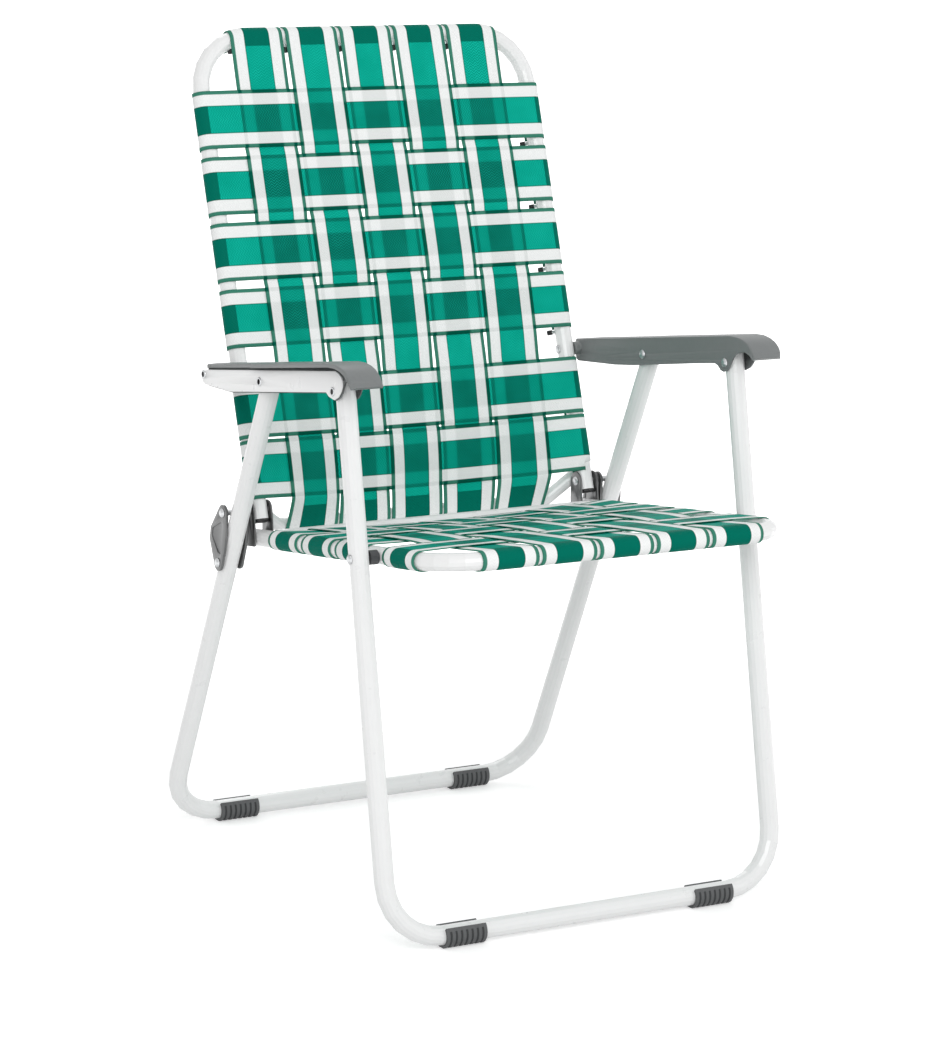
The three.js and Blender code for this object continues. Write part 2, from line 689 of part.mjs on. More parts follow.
// A closed strap between two edge lines with equal numbers of points: four corners at each station
// and four faces between two stations, all split from the low edge to the high one.
function strap(low, high) {
  const middle = low.map((p, i) => p.clone().add(high[i]).multiplyScalar(0.5));
  const across = low.map((p, i) => high[i].clone().sub(p).normalize());
  const normal = (i, j) => across[i].clone().cross(middle[j].clone().sub(middle[i])).normalize();
  const last = low.length - 1;
  const corners = low.flatMap((p, i) => {
    const before = normal(Math.max(i - 1, 0), Math.max(i, 1));
    const after = normal(Math.min(i, last - 1), Math.min(i + 1, last));
    const offset = before.clone().add(after).multiplyScalar(strapThickness / 2 / (1 + before.dot(after)));
    return [p, high[i], high[i], p].map((edge, k) => edge.clone().addScaledVector(offset, k < 2 ? 1 : -1));
  });
  const quads = low.slice(1).flatMap((_, i) => {
    const [a, b] = [4 * i, 4 * (i + 1)];
    return [
      [a, a + 1, b + 1, b], [a + 1, a + 2, b + 2, b + 1], [a + 3, b + 3, b + 2, a + 2], [a + 3, a, b, b + 3],
    ];
  });
  const end = 4 * last;
  quads.push([3, 2, 1, 0], [end, end + 1, end + 2, end + 3]);
  const g = new THREE.BufferGeometry().setFromPoints(corners);
  return g.setIndex(quads.flatMap(([a, b, c, d]) => [a, b, c, a, c, d]));
}

// The end of a row: from the webbing's last corner over a side tube, round it and back below.
function roundRail(from, side) {
  const centre = [side * railX, 0];
  const top = touchAngle(from, centre, strapLevel, -side);
  const round = around(...centre, strapLevel, top, 90 - side * 180, wrapSteps);
  return [...round, [centre[0] - side * rowTail, -strapLevel]];
}

// A row's two edges, from the left tube to the right one; over tests the number of a long strap.
function row(panel, middle, over) {
  const edge = (s) => {
    const woven = longStraps.flatMap((x, column) => [-strapHalf, strapHalf].map((side) => {
      const place = strapMiddle(panel, x, s) + side;
      return [place, wovenLevel(panel, place, s, over(column))];
    }));
    const points = [...roundRail(woven[0], -1).reverse(), ...woven, ...roundRail(woven.at(-1), 1)];
    return points.map(([x, level]) => inPanel(panel, x, s, level));
  };
  return strap(edge(middle - strapHalf), edge(middle + strapHalf));
}

// A long strap's two edges, from its bar near the hinge to the far one; over tests a row's number.
function longStrap(panel, x, rows, over, roundBar, farBar) {
  const edge = (side) => {
    const place = (s) => strapMiddle(panel, x, s) + side;
    const woven = rows.flatMap((middle, i) => [-strapHalf, strapHalf].map((step) => {
      const s = middle + step;
      return [s, wovenLevel(panel, place(s), s, over(i))];
    }));
    const turn = [woven[0][0] - turnGap, woven[0][1]];
    const roundFar = around(farBar, 0, strapLevel, 90, -90, wrapSteps);
    const points = [...roundBar(turn), turn, ...woven, ...roundFar, [farBar - strapTail, -strapLevel]];
    return points.map(([s, level]) => inPanel(panel, place(s), s, level));
  };
  return strap(edge(-strapHalf), edge(strapHalf));
}

// As many rows as fit between two, evenly spaced.
function rowsBetween(first, last) {
  const count = Math.max(Math.floor((last - first) / (strapWidth + rowGap)), 1);
  return Array.from({ length: count + 1 }, (_, i) => first + ((last - first) * i) / count);
}

// Rows of the back, low to high, as heights above the hinge: two below the arms, the rest above
const lowRow = hingeLobe + touchGap + strapHalf;
const highRow = armPivotUp + aboveArmPivot + strapHalf;
const topRow = backTop - backCorner - strapHalf;
const backRows = [lowRow, lowRow + strapWidth + rowGap, ...rowsBetween(highRow, topRow)];
// Odd rows counted from the top pass over the even long straps.
const backRowIsOver = (i, column) => (backRows.length - i) % 2 === (column + 1) % 2;

backRows.forEach((middle, i) => {
  add(`back_row_${backRows.length - i}`, row(backPanel, middle, (column) => backRowIsOver(i, column)), green);
});
const lowerLevel = lowerBarRadius + touchGap + strapThickness / 2;
function roundLowerBar(turn) {
  const centre = [-lowerBarBelow, -lowerBarBehind];
  const front = touchAngle(turn, centre, lowerLevel, 1);
  return around(...centre, lowerLevel, front + barWrap, front, wrapSteps);
}
longStraps.forEach((x, column) => {
  const over = (i) => !backRowIsOver(i, column);
  add(`back_strap_${column + 1}`, longStrap(backPanel, x, backRows, over, roundLowerBar, backTop), green);
});

// Rows of the seat, rear to front, as distances ahead of the hinge
const rearRow = aheadOfHinge + strapHalf;
const thirdRow = seatRun - behindSeatPivot - strapHalf;
const seatRows = [...rowsBetween(rearRow, thirdRow), seatRun + aheadOfSeatPivot + strapHalf];
const seatRowIsOver = (i, column) => (i + column) % 2 === 1;

seatRows.forEach((middle, i) => {
  add(`seat_row_${i + 1}`, row(seatPanel, middle, (column) => seatRowIsOver(i, column)), green);
});
// The long straps of the seat pass under its rear bar and up behind it.
function roundRearBar(turn) {
  const centre = [rearBarSetback, 0];
  const below = touchAngle(turn, centre, strapLevel, -1);
  return around(...centre, strapLevel, below - seatBarWrap, below, wrapSteps + 1);
}
longStraps.forEach((x, column) => {
  const over = (i) => !seatRowIsOver(i, column);
  const farBar = seatRun + seatNose;
  add(`seat_strap_${column + 1}`, longStrap(seatPanel, x, seatRows, over, roundRearBar, farBar), green);
});

// The origin is on the floor under the middle of the chair's bounding box.
const box = new THREE.Box3().setFromObject(chair);
chair.position.y = -(box.min.y + box.max.y) / 2;
chair.updateMatrixWorld(true);

export default chair;
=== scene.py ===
import json
import math

import bmesh
import bpy
from mathutils import Matrix, Vector

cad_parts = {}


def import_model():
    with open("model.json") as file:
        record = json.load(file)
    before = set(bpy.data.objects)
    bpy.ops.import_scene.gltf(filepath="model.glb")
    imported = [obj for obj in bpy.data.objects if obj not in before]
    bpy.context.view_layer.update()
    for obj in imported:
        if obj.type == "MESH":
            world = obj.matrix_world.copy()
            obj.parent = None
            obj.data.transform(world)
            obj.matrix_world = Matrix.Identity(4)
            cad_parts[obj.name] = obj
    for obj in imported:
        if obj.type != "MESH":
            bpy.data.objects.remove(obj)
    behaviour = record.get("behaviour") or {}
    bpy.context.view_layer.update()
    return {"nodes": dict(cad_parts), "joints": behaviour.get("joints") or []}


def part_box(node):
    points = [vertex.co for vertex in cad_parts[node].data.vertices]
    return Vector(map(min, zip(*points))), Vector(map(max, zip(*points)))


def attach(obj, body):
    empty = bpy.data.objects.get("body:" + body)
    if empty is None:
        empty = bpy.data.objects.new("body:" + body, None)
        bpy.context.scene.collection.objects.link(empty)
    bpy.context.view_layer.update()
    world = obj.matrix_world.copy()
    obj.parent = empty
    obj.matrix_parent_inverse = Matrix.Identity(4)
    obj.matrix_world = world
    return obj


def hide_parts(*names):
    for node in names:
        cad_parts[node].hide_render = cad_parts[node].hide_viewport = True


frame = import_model()

MM = 0.001
X = Vector((1, 0, 0))

# Sizes that the solids share, in millimetres
RAIL_HALF = 220  # centre line of a side tube of back or seat
TUBE = 10
LOWER_BAR = 8
TOUCH = 0.3
HINGE_RISE = 32  # of the hinge above the side rails
BACK_TOP = 552
BACK_CORNER = 65
SEAT_FRONT = 424.5
SEAT_CORNER = 58
REAR_BAR = 23  # ahead of the hinge
LOWER_BAR_PLACE = (-16, -34)  # up the back from the hinge, and towards the sitter
STRAP = 1
STRAP_WIDTH = 68
HALF = STRAP_WIDTH / 2
PITCH = STRAP_WIDTH + 4.4
LIFT = 0.8  # a strap passes this far above or below the middle of the webbing
TURN_GAP = 4  # from the row nearest the hinge to where a long strap turns to its bar
STRAP_TAIL = 12
ROW_TAIL = 8
LEVEL = TUBE + TOUCH + STRAP / 2  # middle of the webbing above a tube's centre line
LOWER_LEVEL = LOWER_BAR + TOUCH + STRAP / 2
SAG_POWER = 1.3
BACK_ROWS = (45.6, 115.6, 220.5, 298, 375.5, 453)  # heights above the hinge
SEAT_ROWS = (76, 155.3, 234.6, 342)  # distances ahead of the hinge
LONG_STRAPS = tuple(i * PITCH for i in (-2, -1, 0, 1, 2))

joints = {j["name"]: Vector(j["pos_m"]) for j in frame["joints"]}
hinge = joints["seat_fold"]
back_up = (joints["back_fold"] - hinge).normalized()
back_front = Vector((0, -back_up.z, back_up.y))
to_hinge = hinge - joints["front_leg_fold"]
rise = HINGE_RISE * MM
slope = math.atan2(rise, math.sqrt(to_hinge.length_squared - rise ** 2)) - math.atan2(to_hinge.z, to_hinge.y)
seat_ahead = Vector((0, -math.cos(slope), math.sin(slope)))
seat_up = Vector((0, math.sin(slope), math.cos(slope)))


def smoothstep(t):
    return t * t * (3 - 2 * t)


def middle(node):
    low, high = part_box(node)
    return (low + high) / 2


def link_object(name, data):
    piece = bpy.data.objects.new(name, data)
    bpy.context.scene.collection.objects.link(piece)
    return piece


def smooth(piece, angle):
    for polygon in piece.data.polygons:
        polygon.use_smooth = True
    piece.data.set_sharp_from_angle(angle=math.radians(angle))


# Materials

COAT_ROUGHNESS = 0.12
ROUGHNESS_CHANGE = 0.16
SOLID_ANGLE = 25  # degrees; a sharper edge stays sharp on the solids that are kept


def new_material(name, color, roughness, metallic=0.0, coat=0.0):
    material = bpy.data.materials.new(name)
    material.use_nodes = True
    shader = material.node_tree.nodes["Principled BSDF"]
    shader.inputs["Base Color"].default_value = (*color, 1)
    shader.inputs["Roughness"].default_value = roughness
    shader.inputs["Metallic"].default_value = metallic
    shader.inputs["Coat Weight"].default_value = coat
    shader.inputs["Coat Roughness"].default_value = COAT_ROUGHNESS
    return material, shader


class Nodes:
    """Short calls for a material's node tree."""

    def __init__(self, material):
        self.tree = material.node_tree

    def add(self, kind, inputs=(), **settings):
        node = self.tree.nodes.new(kind)
        for key, value in settings.items():
            setattr(node, key, value)
        for key, value in dict(inputs).items():
            self.put(node.inputs[key], value)
        return node

    def put(self, socket, value):
        if isinstance(value, bpy.types.NodeSocket):
            self.tree.links.new(value, socket)
        else:
            socket.default_value = value

    def math(self, operation, *values):
        node = self.add("ShaderNodeMath", operation=operation)
        for socket, value in zip(node.inputs, values):
            self.put(socket, value)
        return node.outputs[0]

    def mix(self, factor, a, b, kind="MIX"):
        node = self.add("ShaderNodeMix", data_type="RGBA", blend_type=kind)
        self.put(node.inputs["Factor"], factor)
        for socket, value in ((node.inputs[6], a), (node.inputs[7], b)):
            self.put(socket, value if isinstance(value, bpy.types.NodeSocket) else (*value, 1))
        return node.outputs[2]

    def noise(self, scale, detail=3.0):
        place = self.add("ShaderNodeTexCoord").outputs["Object"]
        inputs = {"Vector": place, "Scale": scale, "Detail": detail, "Roughness": 0.5}
        return self.add("ShaderNodeTexNoise", inputs).outputs["Fac"]

    def bump(self, shader, height, strength, distance):
        node = self.add("ShaderNodeBump", {"Height": height, "Strength": strength, "Distance": distance})
        self.put(shader.inputs["Normal"], node.outputs["Normal"])

    def ramp(self, value, stops):
        node = self.add("ShaderNodeValToRGB", {"Fac": value})
        ramp = node.color_ramp.elements
        while len(ramp) > 1:
            ramp.remove(ramp[-1])
        ramp[0].position, ramp[0].color = stops[0][0], (*[stops[0][1]] * 3, 1)
        for position, level in stops[1:]:
            ramp.new(position).color = (level, level, level, 1)
        return node.outputs["Color"]


def speckled(name, color, roughness, metallic=0.0, coat=0.0, scale=900.0, strength=0.1,
             distance=0.2 * MM, shade=0.06, wear=140.0):
    """A plain finish with fine grain, slow changes of shade, and roughness that varies a little."""
    material, shader = new_material(name, color, roughness, metallic, coat)
    n = Nodes(material)
    slow = n.noise(wear, detail=4.0)
    low = tuple(c * (1 - shade) for c in color)
    high = tuple(min(c * (1 + shade), 1) for c in color)
    n.put(shader.inputs["Base Color"], n.mix(slow, low, high))
    n.put(shader.inputs["Roughness"],
          n.math("MULTIPLY_ADD", slow, ROUGHNESS_CHANGE, roughness - ROUGHNESS_CHANGE / 2))
    n.bump(shader, n.noise(scale, detail=2.0), strength, distance)
    return material


paint = speckled("white_paint", (0.88, 0.885, 0.885), roughness=0.3, coat=0.35,
                 scale=420.0, strength=0.06, distance=0.1 * MM, shade=0.012, wear=60.0)
plastic = speckled("armrest_plastic", (0.19, 0.202, 0.203), roughness=0.42,
                   scale=1800.0, strength=0.14, shade=0.07)
rubber = speckled("foot_rubber", (0.1, 0.103, 0.106), roughness=0.62,
                  scale=1400.0, strength=0.18, shade=0.12)
# Painted shade in the feet's grooves: a darker copy of the rubber
groove_shade_rubber = speckled("foot_groove_painted_shade", (0.032, 0.034, 0.036), roughness=0.7,
                         scale=1400.0, strength=0.18, shade=0.12)
zinc = speckled("zinc_rivet", (0.52, 0.53, 0.54), roughness=0.3, metallic=1.0,
                scale=1500.0, strength=0.1, shade=0.16)
steel = speckled("link_steel", (0.15, 0.152, 0.153), roughness=0.32, metallic=0.85,
                 scale=1100.0, strength=0.16, shade=0.2)
black = speckled("black_plastic", (0.01, 0.01, 0.011), roughness=0.5,
                 scale=1500.0, strength=0.1, shade=0.2)
spacer_grey = speckled("spacer_plastic", (0.05, 0.052, 0.055), roughness=0.55,
                       scale=1400.0, strength=0.12, shade=0.1)

GREEN = (0.0, 0.345, 0.245)
# Painted shade: the green where a strap or a tube behind keeps light from shining through
GREEN_SHADED = (0.0, 0.14, 0.096)
# Painted highlight: the green on the yarns' ridges
GREEN_HIGHLIGHT = (0.015, 0.72, 0.56)
WHITE = (0.96, 0.975, 0.97)
WHITE_SHADED = (0.83, 0.855, 0.845)
EDGE = (0.055, 0.25, 0.175)
# A dark green: painted shade on the edge where a green stripe lies behind, and the seam line's own colour
EDGE_DEEP = (0.0, 0.11, 0.07)
# Shares of the half width: green in the middle, then white, then a narrow green edge
GREEN_STOPS = ((0.0, 1.0), (0.475, 1.0), (0.495, 0.0), (0.861, 0.0), (0.881, 1.0), (1.0, 1.0))
SOFT_STOPS = ((0.0, 1.0), (0.44, 1.0), (0.53, 0.0), (0.84, 0.0), (0.89, 1.0), (1.0, 1.0))  # the strap behind, whose green is painted as shade seen through this one
SEAM_STOPS = ((0.0, 0.0), (0.435, 0.0), (0.462, 1.0), (0.48, 1.0), (0.495, 0.0), (1.0, 0.0))
EDGE_START = 0.8
YARN = 3.3  # millimetres between yarns
ZIGZAG = 7.2  # width of the weave's zigzag
WEAVE_SHADE = (0.6, 0.62, 0.62)
DRIFT_SHADE = (0.6, 0.6, 0.6)
DRIFT_SCALE = 45.0
WEBBING_ROUGHNESS, WEAVE_ROUGHNESS = 0.5, 0.08
WEBBING_SPECULAR = 0.02
WEAVE_BUMP, WEAVE_DEPTH = 0.4, 0.25
# Shares of one colour mixed into another. The first two give painted shade, for the light that a white
# stripe, a tube or the space under the seat keeps from shining through.
WHITE_BEHIND_SHARE = 0.3
BACKLIGHT_SHADE_SHARE = 0.9
# The next two give a painted highlight on the yarns' ridges, on the plain and on the shaded green
SHINE_SHARE = 1.2  # times the drift, which is about a half
DEEP_SHINE_SHARE = 0.5
SEAM_SHARE = 0.55
WEAVE_SHADE_SHARE = 0.14
DRIFT_SHARE = 0.05


def webbing_material():
    """Striped woven webbing. The map "weave" is (across, along) in mm. The map "behind" is the place
    across the strap that this one crosses, and a share of painted shade for the light that what lies behind
    keeps from shining through."""
    material, shader = new_material("webbing", GREEN, WEBBING_ROUGHNESS)
    n = Nodes(material)
    own = n.add("ShaderNodeSeparateXYZ", {"Vector": n.add("ShaderNodeUVMap", uv_map="weave").outputs[0]})
    other = n.add("ShaderNodeSeparateXYZ", {"Vector": n.add("ShaderNodeUVMap", uv_map="behind").outputs[0]})
    along = own.outputs[1]
    share = n.math("DIVIDE", n.math("ABSOLUTE", own.outputs[0]), HALF)
    # Masks for painted shade: where the strap behind is green or white, and how much light from behind is
    # kept out
    share_behind = n.math("DIVIDE", n.math("ABSOLUTE", other.outputs[0]), HALF)
    crossed = n.math("LESS_THAN", share_behind, 1.0)
    green_behind = n.math("MULTIPLY", n.ramp(share_behind, SOFT_STOPS), crossed)
    white_behind = n.math("SUBTRACT", crossed, green_behind)
    shade_behind = n.math("MAXIMUM", n.math("MULTIPLY", white_behind, WHITE_BEHIND_SHARE),
                    n.math("MULTIPLY", other.outputs[1], BACKLIGHT_SHADE_SHARE))
    # The weave: a zigzag of yarns, and a slow drift in their tightness
    fold = n.math("PINGPONG", own.outputs[0], ZIGZAG / 2)
    weave = n.math("SINE", n.math("MULTIPLY", n.math("ADD", along, fold), 2 * math.pi / YARN))
    drift = n.noise(DRIFT_SCALE)
    # Painted highlight: lighter green on the yarns' ridges, more where the drift is high
    ridge = n.math("MAXIMUM", weave, 0.0)
    shine = n.math("MULTIPLY", ridge, n.math("MULTIPLY", drift, SHINE_SHARE))
    green = n.mix(shine, GREEN, GREEN_HIGHLIGHT)
    # Painted shade where what lies behind keeps light from shining through, darker still over a green stripe
    green = n.mix(shade_behind, green, GREEN_SHADED)
    deep = n.mix(n.math("MULTIPLY", shine, DEEP_SHINE_SHARE), GREEN_SHADED, GREEN_HIGHLIGHT)
    green = n.mix(green_behind, green, deep)
    green = n.mix(n.math("MULTIPLY", n.ramp(share, SEAM_STOPS), SEAM_SHARE), green, EDGE_DEEP)
    # Painted shade on the edge and on the white where a green stripe lies behind
    edge = n.mix(green_behind, EDGE, EDGE_DEEP)
    green = n.mix(n.math("GREATER_THAN", share, EDGE_START), green, edge)
    white = n.mix(green_behind, WHITE, WHITE_SHADED)
    white = n.mix(n.math("MULTIPLY", ridge, WEAVE_SHADE_SHARE), white, WEAVE_SHADE)
    color = n.mix(n.ramp(share, GREEN_STOPS), white, green)
    n.put(shader.inputs["Base Color"],
          n.mix(n.math("MULTIPLY", drift, DRIFT_SHARE), color, DRIFT_SHADE, "MULTIPLY"))
    n.put(shader.inputs["Roughness"],
          n.math("MULTIPLY_ADD", weave, WEAVE_ROUGHNESS, WEBBING_ROUGHNESS))
    shader.inputs["Specular IOR Level"].default_value = WEBBING_SPECULAR
    n.bump(shader, weave, WEAVE_BUMP, WEAVE_DEPTH * MM)
    return material


webbing = webbing_material()

BY_NAME = [("foot", rubber), ("armrest", plastic), ("rivet", zinc), ("hinge_plate", steel),
           ("link", steel), ("cap", black), ("spacer", spacer_grey)]
for node_name, node_object in frame["nodes"].items():
    finish = next((m for key, m in BY_NAME if key in node_name), paint)
    node_object.data.materials.clear()
    node_object.data.materials.append(finish)
    smooth(node_object, SOLID_ANGLE)


# Webbing: each strap is a thin sheet that follows its own line, column by column across its width

COLUMNS = 12
LEVEL_STEPS = 8
EASE_STEPS = 6
EASE = 3  # a strap starts to rise or dip this far inside the edge of the strap that it crosses
FAR = 1000  # place across the other strap where there is none
FREE = 4  # steps beyond the woven part that are still clear of the tube
TUCK_FROM = 75  # from the hinge
SHEET_SHARE = 0.95  # of the strap's thickness, so that crossing straps stay apart
END_STEPS = 5
LOWER_BAR_WRAP, REAR_BAR_WRAP = 170, 185  # degrees
OFFSETS = [-HALF + STRAP_WIDTH * i / COLUMNS for i in range(COLUMNS + 1)]


class Panel:
    """A woven panel. It sags between its side tubes from sag_from on, more and more towards the hinge,
    where its straps pinch together by a share, and it tucks in further at its lower edge. Its last argument,
    from 0 to 1, is painted shade for the light that doesn't shine through the panel from behind."""

    def __init__(self, body, holder, origin, along, out, sag, sag_from, pinch, tuck, backlight_shade):
        self.body, self.holder, self.origin, self.along, self.out = body, holder, origin, along, out
        self.sag, self.sag_from, self.pinch = sag, sag_from, pinch
        self.tuck, self.backlight_shade = tuck, backlight_shade

    def slack(self, s):
        return max(1 - s / self.sag_from, 0)

    def level(self, x, s, lift):
        fall = self.sag * self.slack(s) ** SAG_POWER + self.tuck * max(1 - s / TUCK_FROM, 0) ** 2
        return LEVEL - fall * (1 - (x / RAIL_HALF) ** 2) + LIFT * lift

    def across(self, x, s):
        return x * (1 - self.pinch * self.slack(s))

    def point(self, x, s, level):
        return self.origin + (X * x + self.along * s + self.out * level) * MM


back = Panel("back", "back_frame", hinge, back_up, back_front,
             sag=25, sag_from=290, pinch=0.026, tuck=9, backlight_shade=0)
# The seat's webbing gets painted shade all over, as less light shines up through it from below
seat = Panel("seat", "seat_frame", hinge - seat_up * rise, seat_ahead, seat_up,
             sag=9, sag_from=220, pinch=0, tuck=0, backlight_shade=0.4)


def arc(centre, radius, start, end, steps=14):
    """Points round a tube from one angle to another, in degrees."""
    angles = [math.radians(start + (end - start) * i / steps) for i in range(steps + 1)]
    return [(centre[0] + radius * math.cos(a), centre[1] + radius * math.sin(a)) for a in angles]


def touch_angle(start, centre, radius, sign):
    """The angle, in degrees, at which a line from start touches a circle."""
    dx, dy = start[0] - centre[0], start[1] - centre[1]
    return math.degrees(math.atan2(dy, dx) + sign * math.acos(radius / math.hypot(dx, dy)))


def between(a, b, steps=4):
    """Points inside the line from a to b."""
    return [tuple(p + (q - p) * i / steps for p, q in zip(a, b)) for i in range(1, steps)]


def stations(centres, over):
    """Places along a strap, each with its share of the lift, from -1 to 1, and the number of the strap
    that it crosses from there on. Over and under take turns."""
    found = []
    last = len(centres) - 1
    for i, centre in enumerate(centres):
        lift = 1 if over(i) else -1
        start = centre - HALF + (EASE if i else 0)
        end = centre + HALF - (EASE if i < last else 0)
        found += [(start + (end - start) * k / LEVEL_STEPS, lift, i) for k in range(LEVEL_STEPS)]
        if i == last:
            found.append((end, lift, i))
            continue
        after = centres[i + 1] - HALF + EASE
        for k in range(EASE_STEPS):
            share = lift * (1 - 2 * smoothstep(k / EASE_STEPS))
            found.append((end + (after - end) * k / EASE_STEPS, share, i + (2 * k >= EASE_STEPS)))
    return found


def other_places(before, found, after, centres, backlight_shade):
    """For each step of a strap, the places across the strap that it crosses at the step's two ends, and
    the share of painted shade for the light that doesn't shine through from behind: over a tube it is 1."""
    free, held = [(FAR, FAR, backlight_shade)] * FREE, (FAR, FAR, 1)
    woven = [(found[j][0] - centres[found[j][2]], found[j + 1][0] - centres[found[j][2]], backlight_shade)
             for j in range(len(found) - 1)]
    return [held] * (before - FREE) + free + woven + free + [held] * (after - FREE)


def strap_piece(node, columns, panel):
    """A sheet from columns, each (place across, points, what other_places gives for each step)."""
    mesh = bpy.data.meshes.new("web_" + node)
    count = len(columns[0][1])
    vertices = [p for _, points, _ in columns for p in points]
    faces = [(i * count + j, (i + 1) * count + j, (i + 1) * count + j + 1, i * count + j + 1)
             for i in range(len(columns) - 1) for j in range(count - 1)]
    mesh.from_pydata(vertices, [], faces)
    weave_map = mesh.uv_layers.new(name="weave")
    behind_map = mesh.uv_layers.new(name="behind")
    along = [0.0]
    centre_line = columns[len(columns) // 2][1]
    for a, b in zip(centre_line, centre_line[1:]):
        along.append(along[-1] + (b - a).length / MM)
    for face_index, polygon in enumerate(mesh.polygons):
        j = face_index % (count - 1)
        for loop, vertex in zip(polygon.loop_indices, polygon.vertices):
            i, row = divmod(vertex, count)
            weave_map.data[loop].uv = (columns[i][0], along[row])
            other = columns[i][2][j]
            behind_map.data[loop].uv = (other[row - j], other[2])
        polygon.use_smooth = True
    piece = link_object("web_" + node, mesh)
    mesh.materials.append(webbing)
    shell = piece.modifiers.new("thickness", "SOLIDIFY")
    shell.thickness = STRAP * SHEET_SHARE * MM
    shell.offset = 0
    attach(piece, panel.body)
    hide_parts(node)


def fillet(start, corner, end, steps=8):
    """Points inside an easy bend from start to end, drawn towards the corner."""
    shares = [i / steps for i in range(1, steps)]
    return [tuple(a * (1 - t) ** 2 + 2 * b * t * (1 - t) + c * t ** 2
                  for a, b, c in zip(start, corner, end))
            for t in shares]


def round_rail(start, side):
    """The end of a row: over a side tube, round it and back below."""
    centre = (side * RAIL_HALF, 0)
    top = touch_angle(start, centre, LEVEL, -side)
    around = arc(centre, LEVEL, top, 90 - side * 180)
    return between(start, around[0]) + around + [(centre[0] - side * ROW_TAIL, -LEVEL)]


def row_piece(node, panel, centre, over):
    columns = []
    for offset in OFFSETS:
        s = centre + offset
        centres = [panel.across(x, s) for x in LONG_STRAPS]
        found = stations(centres, over)
        woven = [(x, panel.level(x, s, lift)) for x, lift, _ in found]
        left = round_rail(woven[0], -1)[::-1]
        right = round_rail(woven[-1], 1)
        points = [panel.point(x, s, level) for x, level in left + woven + right]
        others = other_places(len(left), found, len(right), centres, panel.backlight_shade)
        columns.append((offset, points, others))
    strap_piece(node, columns, panel)


def corner_drop(x, corner):
    """How far a frame's bar has curved away at x, and the cosine of its slope there."""
    beyond = max(abs(x) - (RAIL_HALF - corner), 0)
    straight = math.sqrt(corner ** 2 - beyond ** 2)
    return corner - straight, straight / corner


def long_piece(node, panel, x, rows, over, round_bar, far, corner):
    """A long strap: round its bar near the hinge, over and under the rows, round the frame's far end."""
    columns = []
    found = stations(rows, over)
    for offset in OFFSETS:
        woven = [(s, panel.level(panel.across(x, s) + offset, s, lift)) for s, lift, _ in found]
        turn = (woven[0][0] - TURN_GAP, woven[0][1])
        near = round_bar(turn)
        near += fillet(near[-1], turn, woven[0])
        drop, cosine = corner_drop(panel.across(x, far) + offset, corner)
        top = far - drop
        last, level = woven[-1]
        ease = [(s, level + (LEVEL - level) * smoothstep(i / END_STEPS))
                for i, (s,) in enumerate(between((last,), (top,), END_STEPS), 1)]
        wrap = [(top + (s - top) / cosine, out) for s, out in arc((top, 0), LEVEL, 90, -90)]
        end = ease + wrap + [(top - STRAP_TAIL, -LEVEL)]
        points = [panel.point(panel.across(x, s) + offset, s, out) for s, out in near + woven + end]
        others = other_places(len(near), found, len(end), rows, panel.backlight_shade)
        columns.append((offset, points, others))
    strap_piece(node, columns, panel)


def round_lower_bar(turn):
    front = touch_angle(turn, LOWER_BAR_PLACE, LOWER_LEVEL, 1)
    return arc(LOWER_BAR_PLACE, LOWER_LEVEL, front + LOWER_BAR_WRAP, front)


def round_rear_bar(turn):
    below = touch_angle(turn, (REAR_BAR, 0), LEVEL, -1)
    return arc((REAR_BAR, 0), LEVEL, below - REAR_BAR_WRAP, below)


def back_row_is_over(row, column):
    return (len(BACK_ROWS) - row) % 2 == (column + 1) % 2


def seat_row_is_over(row, column):
    return (row + column) % 2 == 1


for row, centre in enumerate(BACK_ROWS):
    row_piece(f"back_row_{len(BACK_ROWS) - row}", back, centre, lambda c, r=row: back_row_is_over(r, c))
for row, centre in enumerate(SEAT_ROWS):
    row_piece(f"seat_row_{row + 1}", seat, centre, lambda c, r=row: seat_row_is_over(r, c))
for column, x in enumerate(LONG_STRAPS):
    long_piece(f"back_strap_{column + 1}", back, x, BACK_ROWS,
               lambda r, c=column: not back_row_is_over(r, c),
               round_lower_bar, BACK_TOP, BACK_CORNER)
    long_piece(f"seat_strap_{column + 1}", seat, x, SEAT_ROWS,
               lambda r, c=column: not seat_row_is_over(r, c),
               round_rear_bar, SEAT_FRONT, SEAT_CORNER)


# Turned pieces: the small dark screws that hold the straps' ends, the arm plates' eyelets and the arms'
# middle rivets. Their profiles are (radius, height) in mm.

TURNED_SIDES = 18
MERGE = 0.01
ROUND_ANGLE = 40  # degrees; a sharper edge stays sharp on the turned pieces and the feet


def turned(name, profile, parting, finishes, place, direction, body, node=None):
    """A piece turned about a direction. The faces for which parting(radius, height) holds get the second
    finish. It takes the node's place if there is one."""
    work = bmesh.new()
    ring = [work.verts.new((r, 0, h)) for r, h in profile]
    spun = [work.edges.new(pair) for pair in zip(ring, ring[1:])]
    bmesh.ops.spin(work, geom=ring + spun, axis=(0, 0, 1), cent=(0, 0, 0), steps=TURNED_SIDES,
                   angle=2 * math.pi)
    bmesh.ops.remove_doubles(work, verts=work.verts, dist=MERGE)
    bmesh.ops.recalc_face_normals(work, faces=work.faces)
    for face in work.faces:
        spot = face.calc_center_median()
        face.material_index = int(parting(math.hypot(spot.x, spot.y), spot.z))
    mesh = bpy.data.meshes.new(name)
    work.to_mesh(mesh)
    work.free()
    turn = direction.to_track_quat("Z", "Y").to_matrix().to_4x4()
    mesh.transform(Matrix.Translation(place) @ turn @ Matrix.Scale(MM, 4))
    for finish in finishes:
        mesh.materials.append(finish)
    piece = link_object(name, mesh)
    smooth(piece, ROUND_ANGLE)
    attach(piece, body)
    if node:
        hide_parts(node)


